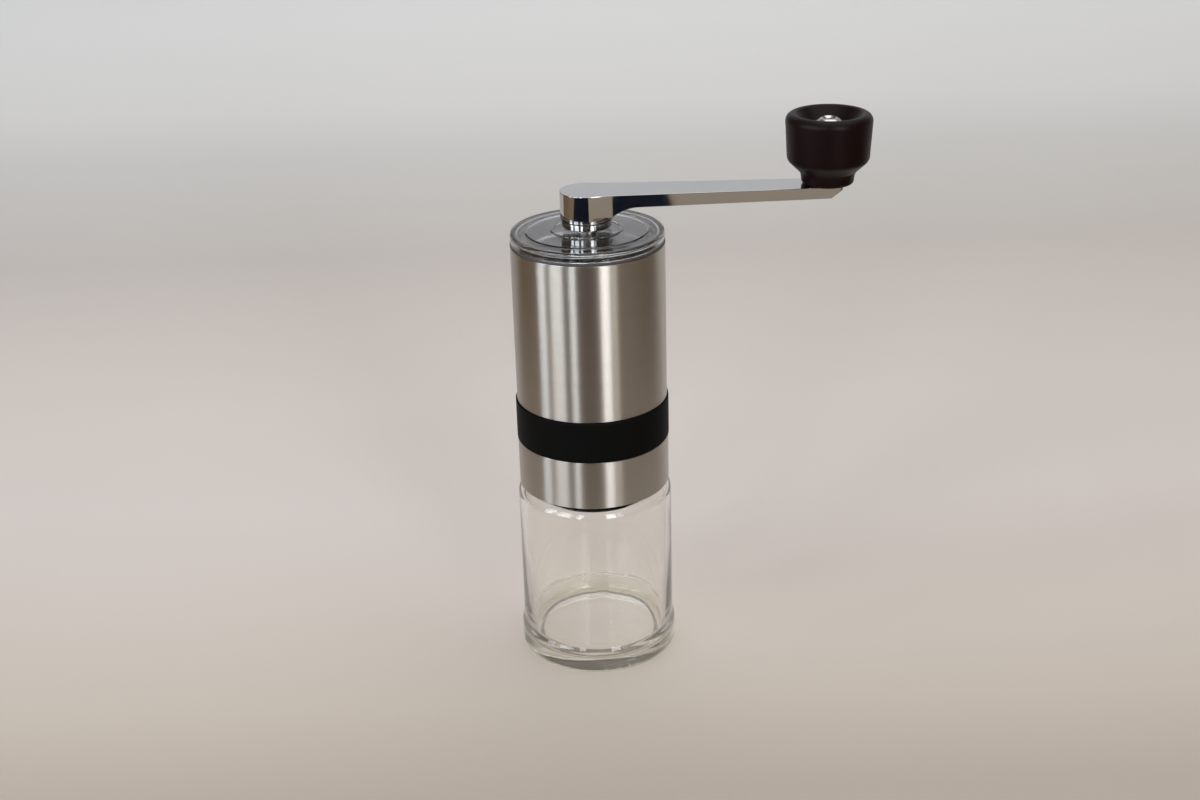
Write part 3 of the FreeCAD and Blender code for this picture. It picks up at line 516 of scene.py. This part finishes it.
# %% Pressed glass
# distances from the middle of a dome, as parts of their spacing
DOME_FULL = 0.1
DOME_NONE = 0.45
PATCH_SCALE = 0.09
PATCH_FROM = 0.5
PATCH_FULL = 0.6
WAVE_SCALE = 0.06
WAVE_PART = 0.5
# radii and heights, in millimetres
OUTSIDE_FROM = 28.0
OUTSIDE_FULL = 31.0
HEEL_FULL = 2.0
HEEL_NONE = 13.0
# the band of painted shade in the inside corner of the floor
CORNER_FROM = 23.7
CORNER_FULL = 24.3
CORNER_UNTIL = 25.4
CORNER_NONE = 26.2
CORNER_ABOVE = 4.0
BEAD_PART = 0.2


def pressed_group():
    """Waves, and domes low on the heel, with masks of the thick glass and of the painted shade in
    the inside corner.
    """
    group, given, result = start_group(
        "pressed", {"Spacing": 1.1, "Top": 6.0}, ["Height", "Thick", "Corner shade"]
    )
    place = add_node(group, "ShaderNodeTexCoord")
    size = add_node(group, "ShaderNodeVectorMath", {
        0: place.outputs["Object"], "Scale": PER_METRE,
    }, operation="SCALE").outputs[0]
    parts = add_node(group, "ShaderNodeSeparateXYZ", {"Vector": size})
    height = parts.outputs["Z"]
    flat = add_node(group, "ShaderNodeCombineXYZ", {
        "X": parts.outputs["X"], "Y": parts.outputs["Y"],
    })
    radius = add_node(
        group, "ShaderNodeVectorMath", {0: flat.outputs[0]}, operation="LENGTH"
    ).outputs["Value"]
    outside = between(group, radius, OUTSIDE_FROM, OUTSIDE_FULL)

    rate = maths(group, "DIVIDE", 1.0, given.outputs["Spacing"])
    cells = add_node(group, "ShaderNodeTexVoronoi", {"Vector": size, "Scale": rate})
    dome = between(group, cells.outputs["Distance"], DOME_FULL, DOME_NONE, 1.0, 0.0)
    patches = between(group, noise_at(group, size, PATCH_SCALE), PATCH_FROM, PATCH_FULL)
    below = maths(group, "LESS_THAN", height, given.outputs["Top"])
    low = maths(group, "MULTIPLY", outside, below)
    domes = maths(group, "MULTIPLY", dome, maths(group, "MULTIPLY", patches, low))
    waves = noise_at(group, size, WAVE_SCALE, Detail=0.0)
    relief = maths(group, "MULTIPLY_ADD", waves, WAVE_PART, domes)

    heel = between(group, height, HEEL_FULL, HEEL_NONE, 1.0, 0.0)
    thick = maths(group, "MULTIPLY", heel, outside)

    # painted shade: a dotted dark band in the inside corner, where floor and wall meet
    rise = between(group, radius, CORNER_FROM, CORNER_FULL)
    fall = between(group, radius, CORNER_UNTIL, CORNER_NONE, 1.0, 0.0)
    above = maths(group, "GREATER_THAN", height, CORNER_ABOVE)
    ring = maths(group, "MULTIPLY", rise, maths(group, "MULTIPLY", fall, above))
    beads = maths(group, "MULTIPLY_ADD", dome, BEAD_PART, 1 - BEAD_PART)
    corner = maths(group, "MULTIPLY", ring, beads)

    group.links.new(relief, result.inputs["Height"])
    group.links.new(thick, result.inputs["Thick"])
    group.links.new(corner, result.inputs["Corner shade"])
    return group


pressed = pressed_group()
print("group", pressed.name)

# %% [markdown]
# ## Finish helpers
# Many finishes differ only in their values. Two helpers place a group in a material and blend two
# colours with a mask, and a third makes a whole grained finish for plastic or rubber: two close
# shades, bumps from the fine pattern, and a gloss that wanders a little.

# %% Grained finish
GLOSS_DRIFT = 0.06
GRAIN_STRENGTH = 0.5


def put_group(tree, group, **inputs):
    return add_node(tree, "ShaderNodeGroup", inputs, node_tree=group)


def blend_colours(tree, mask, first, second):
    """A colour that goes from first to second with the mask. Each is a colour or an output."""
    mix = tree.nodes.new("ShaderNodeMix")
    mix.data_type = "RGBA"
    tree.links.new(mask, mix.inputs["Factor"])
    ends = [socket for socket in mix.inputs if socket.type == "RGBA"]
    for end, colour in zip(ends, (first, second)):
        if isinstance(colour, tuple):
            end.default_value = (*colour, 1.0)
        else:
            tree.links.new(colour, end)
    return next(socket for socket in mix.outputs if socket.type == "RGBA")


def add_bump(tree, height, depth, strength):
    """The normal of a surface with a relief that is depth millimetres deep."""
    return add_node(tree, "ShaderNodeBump", {
        "Strength": strength, "Distance": depth * MM, "Height": height,
    }).outputs["Normal"]


def grained(name, first, second, rough, size=0.15, depth=0.02, **plain):
    """A moulded finish: two close shades, a fine grain and a little unevenness in its gloss."""
    material, tree, shader = start_material(name, **plain)
    pattern = put_group(tree, grain, Size=size)
    drift = pattern.outputs["Drift"]
    gloss = between(tree, drift, 0.0, 1.0, rough - GLOSS_DRIFT, rough + GLOSS_DRIFT)
    normal = add_bump(tree, pattern.outputs["Height"], depth, GRAIN_STRENGTH)
    tree.links.new(blend_colours(tree, drift, first, second), shader.inputs["Base Color"])
    tree.links.new(gloss, shader.inputs["Roughness"])
    tree.links.new(normal, shader.inputs["Normal"])
    finish[name] = material


print("finish helpers ready")

# %% [markdown]
# ## Plastics, rubber and ceramic
# The knob is a very dark brown phenolic moulding with a satin skin. The band is soft black silicone
# that hardly shines at all. The hopper, bridges and head are dark injection mouldings, the bushes
# are natural acetal, and the burrs are matt white ceramic. All of them share one finish, with their
# own colours, gloss and depth of grain.

# %% Plastics, rubber and ceramic
grained(
    "knob_plastic", (0.005, 0.0016, 0.0016), (0.008, 0.003, 0.003), 0.38, depth=0.006,
    Specular_IOR_Level=0.12
)
grained(
    "band_silicone", (0.003, 0.003, 0.003), (0.005, 0.005, 0.0048), 0.5, size=0.08,
    Specular_IOR_Level=0.03
)
grained("gasket_silicone", (0.62, 0.62, 0.60), (0.70, 0.70, 0.68), 0.55, size=0.1)
grained("hopper_plastic", (0.035, 0.035, 0.036), (0.05, 0.05, 0.051), 0.5)
grained("inner_plastic", (0.02, 0.02, 0.021), (0.03, 0.03, 0.031), 0.5)
grained("bush_plastic", (0.80, 0.79, 0.75), (0.86, 0.85, 0.82), 0.4)
grained("nut_plastic", (0.02, 0.02, 0.021), (0.032, 0.032, 0.033), 0.4)
grained("ceramic", (0.80, 0.78, 0.73), (0.88, 0.86, 0.82), 0.28, size=0.3, depth=0.015)
print(sorted(finish))

# %% [markdown]
# ## Brushed metals
# The steel tubes are brushed while they turn, so fine lines run round them and every window shows
# as a tall soft streak. An anisotropic gloss could spread the light by itself. Together with a tiny
# lean of the normal, it also gives the slightly ragged edges of those streaks. The shaft, spring,
# screws and brass insert take the same finish with their own colours.

# %% Brushed metals
BRUSH_DEPTH = 0.004
BRUSH_STRENGTH = 0.3
BRUSH_GLOSS = 0.02
# nearly all values of a noise lie between these
NOISE_LOW = 0.3
NOISE_HIGH = 0.7


def add_lean(tree, normal, direction, noise, most):
    """Tilts a normal along a direction, by up to most either way, as the noise says."""
    amount = between(tree, noise, NOISE_LOW, NOISE_HIGH, -most, most)
    aside = add_node(tree, "ShaderNodeVectorMath", {
        0: direction, "Scale": amount,
    }, operation="SCALE").outputs[0]
    turned = add_node(tree, "ShaderNodeVectorMath", {0: normal, 1: aside}).outputs[0]
    return add_node(tree, "ShaderNodeVectorMath", {0: turned}, operation="NORMALIZE").outputs[0]


def brushed(name, first, second, rough, lines=2500.0, spread=0.0, ragged=0.0, **plain):
    """A metal with fine lines round the Z axis, which spread reflections up and down."""
    material, tree, shader = start_material(name, Metallic=1.0, **plain)
    pattern = put_group(tree, brushing, Lines=lines)
    colour = blend_colours(tree, pattern.outputs["Bands"], first, second)
    gloss = between(
        tree, pattern.outputs["Lines"], 0.0, 1.0, rough - BRUSH_GLOSS, rough + BRUSH_GLOSS
    )
    around = add_node(
        tree, "ShaderNodeTangent", direction_type="RADIAL", axis="Z"
    ).outputs["Tangent"]
    upward = add_node(tree, "ShaderNodeCombineXYZ", {"Z": 1.0}).outputs[0]
    normal = add_bump(tree, pattern.outputs["Lines"], BRUSH_DEPTH, BRUSH_STRENGTH)
    normal = add_lean(tree, normal, upward, pattern.outputs["Tilt"], spread)
    normal = add_lean(tree, normal, around, pattern.outputs["Skew"], ragged)
    tree.links.new(colour, shader.inputs["Base Color"])
    tree.links.new(gloss, shader.inputs["Roughness"])
    tree.links.new(normal, shader.inputs["Normal"])
    tree.links.new(around, shader.inputs["Tangent"])
    finish[name] = material


brushed(
    "brushed_steel", (0.475, 0.455, 0.42), (0.52, 0.498, 0.46), 0.31, lines=3000.0,
    spread=0.15, ragged=0.005, Anisotropic=1.0, Anisotropic_Rotation=0.25
)
brushed(
    "shaft_steel", (0.58, 0.57, 0.55), (0.64, 0.63, 0.61), 0.28,
    Anisotropic=0.5, Anisotropic_Rotation=0.25
)
brushed("spring_steel", (0.52, 0.51, 0.50), (0.58, 0.57, 0.56), 0.3)
brushed("screw_steel", (0.55, 0.54, 0.52), (0.62, 0.61, 0.59), 0.3)
brushed("black_steel", (0.50, 0.49, 0.48), (0.56, 0.55, 0.54), 0.22)
brushed("brass", (0.72, 0.52, 0.24), (0.80, 0.60, 0.30), 0.3)
print(sorted(finish))

# %% [markdown]
# ## Chrome
# The crank is cast, polished and plated, and mirrors the room sharply. A perfect mirror would be
# simpler, but chrome that is handled is never that clean, so smudges dull it a little.

# %% Chrome
def chrome_material():
    material, tree, shader = start_material(
        "crank_chrome", Base_Color=(0.57, 0.575, 0.585, 1.0), Metallic=1.0
    )
    touched = put_group(tree, smudges, Polish=0.035, Smudge=0.05)
    tree.links.new(touched.outputs["Roughness"], shader.inputs["Roughness"])
    finish["crank_chrome"] = material
    return material


print(chrome_material().name)

# %% [markdown]
# ## Clear finishes
# The lid is moulded in clear plastic with polished faces. A path of light that has crossed many
# surfaces goes straight on after that, because the jar's thick foot would otherwise turn black.
# Shadows of clear pieces are made pale in the same way, as light also bends into them.

# %% Clear finishes
# surfaces that a path has met: up to the first the finish is whole, from the second it is gone
WHOLE_DEPTH = 4.0
GONE_DEPTH = 7.0


def clear(name, tint, ior, polish, smudge, shadow, shine):
    """A see-through finish. Shadow is the part of the light that its shadow lets through."""
    material, tree, shader = start_material(
        name, Base_Color=(*tint, 1.0), IOR=ior, Transmission_Weight=1.0, Specular_IOR_Level=shine
    )
    touched = put_group(tree, smudges, Polish=polish, Smudge=smudge)
    rays = add_node(tree, "ShaderNodeLightPath")
    shade = maths(tree, "MULTIPLY_ADD", rays.outputs["Is Shadow Ray"], -shadow, 1.0)
    deep = between(tree, rays.outputs["Ray Depth"], WHOLE_DEPTH, GONE_DEPTH, 1.0, 0.0)
    tree.links.new(maths(tree, "MULTIPLY", shade, deep), shader.inputs["Alpha"])
    tree.links.new(touched.outputs["Roughness"], shader.inputs["Roughness"])
    finish[name] = material
    return material, tree, shader


clear(
    "clear_plastic", (0.86, 0.865, 0.87), ior=1.49, polish=0.05, smudge=0.05, shadow=0.6, shine=1.0
)
print(sorted(finish))

# %% [markdown]
# ## Jar glass
# The jar takes the clear finish with its own tints, and the waves and domes of the pressed glass.
# An absorbing volume would tint thick glass by itself. Tints on the surface were chosen, because
# they can be put just where the glass looks olive, and where painted shade darkens the inside
# corner of its floor.

# %% Jar glass
GLASS_TINT = (0.965, 0.965, 0.945)
HEEL_TINT = (0.57, 0.56, 0.42)
# the colour of the painted shade in the inside corner of the floor
CORNER_SHADE_TINT = (0.02, 0.02, 0.012)
GLASS_RELIEF = 0.12


def jar_glass_material():
    """Clear pressed glass, olive in the heel, with painted shade in the corner of its floor."""
    material, tree, shader = clear(
        "jar_glass", GLASS_TINT, ior=1.51, polish=0.0, smudge=0.04, shadow=0.88, shine=0.8
    )
    shape = put_group(tree, pressed)
    tint = blend_colours(tree, shape.outputs["Thick"], GLASS_TINT, HEEL_TINT)
    # painted shade darkens the inside corner of the floor
    tint = blend_colours(tree, shape.outputs["Corner shade"], tint, CORNER_SHADE_TINT)
    normal = add_bump(tree, shape.outputs["Height"], GLASS_RELIEF, 1.0)
    tree.links.new(tint, shader.inputs["Base Color"])
    tree.links.new(normal, shader.inputs["Normal"])
    return material


print(jar_glass_material().name)

# %% [markdown]
# ## Dress the nodes
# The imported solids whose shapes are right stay, and only take their new finish. Each is found by
# the material slot that the record gives it, so no piece is left out.

# %% Assign finishes
for name, node in nodes.items():
    for slot in node.material_slots:
        slot.material = finish[slot_of[name]]
print("dressed", len(nodes))

# %% [markdown]
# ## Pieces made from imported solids
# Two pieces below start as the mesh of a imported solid, because its thread or its coil is right and
# only a part of it changes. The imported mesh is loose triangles, so a copy is made and its doubled
# points are merged. The solid itself stays as it is and is hidden.

# %% Copy helpers
SAME_POINT = 1e-6


def merged_copy(node_name):
    """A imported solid's mesh as a bmesh in place, with doubled points merged."""
    work = bmesh.new()
    work.from_mesh(nodes[node_name].data)
    work.transform(nodes[node_name].matrix_world)
    bmesh.ops.remove_doubles(work, verts=work.verts, dist=SAME_POINT)
    return work


def to_mesh(work, name):
    """Turns a bmesh into a named mesh, and frees it."""
    mesh = bpy.data.meshes.new(name)
    work.to_mesh(mesh)
    work.free()
    return mesh


def add_piece(name, mesh, slot, replaced=()):
    """Links a finished mesh as a piece with the finish of a slot."""
    mesh.materials.clear()
    mesh.materials.append(finish[slot])
    piece = bpy.data.objects.new(name, mesh)
    bpy.context.collection.objects.link(piece)
    if replaced:
        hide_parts(*replaced)
    return piece


print("copy helpers ready")

# %% [markdown]
# ## The jar's foot
# A pressed jar doesn't stand on smooth glass: its rim has a ring of small dots, which keep the hot
# glass off the belt when it is made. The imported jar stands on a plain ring. In its copy the hollow
# under it is drawn in to a shallow step, the ring is raised by the height of the dots, and the
# rounding of the floor inside is made smaller. Everything else, thread and all, stays as packed. A
# jar turned from a new profile would lose that thread.

# %% Jar
# radii and heights, in millimetres
RING_IN = 26.55
FOOT_ROUND = 3.6
SLOPE_IN = 18.0
SLOPE_SQUEEZE = 0.12
RING_Z = 0.3
PACKED_HOLLOW = 1.2
HOLLOW_STEP = 0.5
INSIDE_R = 28.4
INSIDE_Z = 5.5
INSIDE_ROUND = 7.0
INSIDE_SQUEEZE = 0.4
SLACK = 0.01
SHARP = math.radians(32)


def foot_point(point):
    """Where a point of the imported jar's foot goes, in millimetres."""
    radius = math.hypot(point.x, point.y)
    inward, up = INSIDE_R - radius, point.z - INSIDE_Z
    if all(-SLACK < reach < INSIDE_ROUND + SLACK for reach in (inward, up)):
        grow = (INSIDE_R - inward * INSIDE_SQUEEZE) / radius
        return Vector((point.x * grow, point.y * grow, INSIDE_Z + up * INSIDE_SQUEEZE))
    if radius > RING_IN + SLACK:
        if point.z >= FOOT_ROUND:
            return point
        return Vector((point.x, point.y, RING_Z + point.z * (1 - RING_Z / FOOT_ROUND)))
    if point.z > PACKED_HOLLOW + SLACK:
        return point
    if radius < SLOPE_IN:
        grow = (RING_IN - (RING_IN - SLOPE_IN) * SLOPE_SQUEEZE) / SLOPE_IN
    else:
        grow = (RING_IN - (RING_IN - radius) * SLOPE_SQUEEZE) / radius
    return Vector((point.x * grow, point.y * grow, RING_Z + point.z * HOLLOW_STEP / PACKED_HOLLOW))


work = merged_copy("glass_jar")
for vert in work.verts:
    vert.co = foot_point(vert.co / MM) * MM
jar_mesh = to_mesh(work, "jar")
jar_mesh.shade_smooth()
jar_mesh.set_sharp_from_angle(angle=SHARP)
jar = add_piece("jar", jar_mesh, "jar_glass", ["glass_jar"])
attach(jar, "jar")
print("jar", len(jar_mesh.polygons), "faces")

# %% [markdown]
# ## Helpers for geometry nodes
# Pieces that repeat by a rule are set out by a tree of geometry nodes with named inputs. Three
# helpers start such a tree, end it in real meshes with a material, and run it once to read the mesh
# that it makes. The tree could also stay on the piece as a modifier, but a plain mesh is what the
# export and the poses need.

# %% Geometry helpers
def start_tree(name, inputs):
    """A geometry node tree with named inputs, as label: (socket type, value)."""
    tree = bpy.data.node_groups.new(name, "GeometryNodeTree")
    tree.interface.new_socket("Geometry", in_out="INPUT", socket_type="NodeSocketGeometry")
    for label, (kind, value) in inputs.items():
        socket = tree.interface.new_socket(label, in_out="INPUT", socket_type=kind)
        if value is not None:
            socket.default_value = value
    tree.interface.new_socket("Geometry", in_out="OUTPUT", socket_type="NodeSocketGeometry")
    return tree, tree.nodes.new("NodeGroupInput"), tree.nodes.new("NodeGroupOutput")


def close_tree(tree, given, result, geometry):
    """Ends a tree: real meshes instead of instances, then their material."""
    real = add_node(tree, "GeometryNodeRealizeInstances", {"Geometry": geometry})
    painted = add_node(tree, "GeometryNodeSetMaterial", {
        "Geometry": real.outputs[0], "Material": given.outputs["Material"],
    })
    tree.links.new(painted.outputs[0], result.inputs["Geometry"])


def grow_mesh(name, tree, values):
    """Runs a tree with the given input values, and returns the mesh that it makes."""
    host = bpy.data.objects.new(name, bpy.data.meshes.new(name + "_seed"))
    bpy.context.collection.objects.link(host)
    modifier = host.modifiers.new("grow", "NODES")
    modifier.node_group = tree
    for socket in tree.interface.items_tree:
        if socket.in_out == "INPUT" and socket.name in values:
            modifier[socket.identifier] = values[socket.name]
    graph = bpy.context.evaluated_depsgraph_get()
    mesh = bpy.data.meshes.new_from_object(host.evaluated_get(graph), depsgraph=graph)
    host.modifiers.remove(modifier)
    bpy.data.objects.remove(host)
    mesh.name = name
    return mesh


print("geometry helpers ready")

# %% [markdown]
# ## Dots under the jar
# The dots all have the same form and follow the ring, in two staggered rows, so a node tree sets
# them out: a circle of points, one small flat dome on each, and a little unevenness in their size.
# Bump would show dots too, but it would leave the foot's edge on the floor plain.

# %% Dots
DOT_R = 0.45
DOT_HEIGHT = 0.28
DOT_SEED = 4
DOT_SMALLEST = 0.8
DOT_LARGEST = 1.15
# each row's radius in millimetres, count, and turn as a part of the step between two dots
DOT_ROWS = ((26.95, 104, 0.0), (28.05, 104, 0.5))


def dots_tree():
    """A circle of flat domes. Flat is a dome's height over its width."""
    tree, given, result = start_tree("foot_dots", {
        "Radius": ("NodeSocketFloat", 0.027), "Count": ("NodeSocketInt", 104),
        "Stagger": ("NodeSocketFloat", 0.0), "Dot": ("NodeSocketFloat", 0.00045),
        "Flat": ("NodeSocketFloat", 0.31), "Seed": ("NodeSocketInt", 4),
        "Material": ("NodeSocketMaterial", None),
    })
    circle = add_node(tree, "GeometryNodeMeshCircle", {
        "Vertices": given.outputs["Count"], "Radius": given.outputs["Radius"],
    })
    step = maths(tree, "DIVIDE", 2 * math.pi, given.outputs["Count"])
    turn = maths(tree, "MULTIPLY", step, given.outputs["Stagger"])
    spin = add_node(tree, "ShaderNodeCombineXYZ", {"Z": turn})
    high = maths(tree, "MULTIPLY", given.outputs["Dot"], given.outputs["Flat"])
    lift = add_node(tree, "ShaderNodeCombineXYZ", {"Z": high})
    placed = add_node(tree, "GeometryNodeTransform", {
        "Geometry": circle.outputs[0], "Translation": lift.outputs[0], "Rotation": spin.outputs[0],
    })
    ball = add_node(tree, "GeometryNodeMeshUVSphere", {
        "Segments": 10, "Rings": 6, "Radius": given.outputs["Dot"],
    })
    shape = add_node(tree, "ShaderNodeCombineXYZ", {"X": 1.0, "Y": 1.0, "Z": given.outputs["Flat"]})
    dome = add_node(tree, "GeometryNodeTransform", {
        "Geometry": ball.outputs[0], "Scale": shape.outputs[0],
    })
    # by number, because a Random Value node has a Min and a Max for each of its types
    wide = add_node(tree, "FunctionNodeRandomValue", {
        2: DOT_SMALLEST, 3: DOT_LARGEST, "Seed": given.outputs["Seed"],
    }, data_type="FLOAT").outputs[1]
    uneven = add_node(tree, "ShaderNodeCombineXYZ", {"X": wide, "Y": wide, "Z": 1.0})
    dots = add_node(tree, "GeometryNodeInstanceOnPoints", {
        "Points": placed.outputs[0], "Instance": dome.outputs[0], "Scale": uneven.outputs[0],
    })
    close_tree(tree, given, result, dots.outputs[0])
    return tree


foot_dots = dots_tree()
for row, (radius, count, stagger) in enumerate(DOT_ROWS):
    mesh = grow_mesh(f"foot_dots_{row}", foot_dots, {
        "Radius": radius * MM, "Count": count, "Stagger": stagger, "Dot": DOT_R * MM,
        "Flat": DOT_HEIGHT / (2 * DOT_R), "Seed": DOT_SEED + row, "Material": finish["jar_glass"],
    })
    mesh.shade_smooth()
    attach(add_piece(mesh.name, mesh, "jar_glass"), "jar")
    print(mesh.name, len(mesh.polygons), "faces")

# %% [markdown]
# ## Burr spring
# The real spring is drawn wire, wound cold round a mandrel. It presses the inner burr down, away
# from the lower bush, so its coils close when the burr is set finer. The imported coil is copied
# with its doubled points merged, and the copy takes the spring's finish in place of the solid.

work = merged_copy("burr_spring")
spring_mesh = to_mesh(work, "spring")
spring = add_piece("spring", spring_mesh, "spring_steel", ["burr_spring"])
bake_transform(spring)
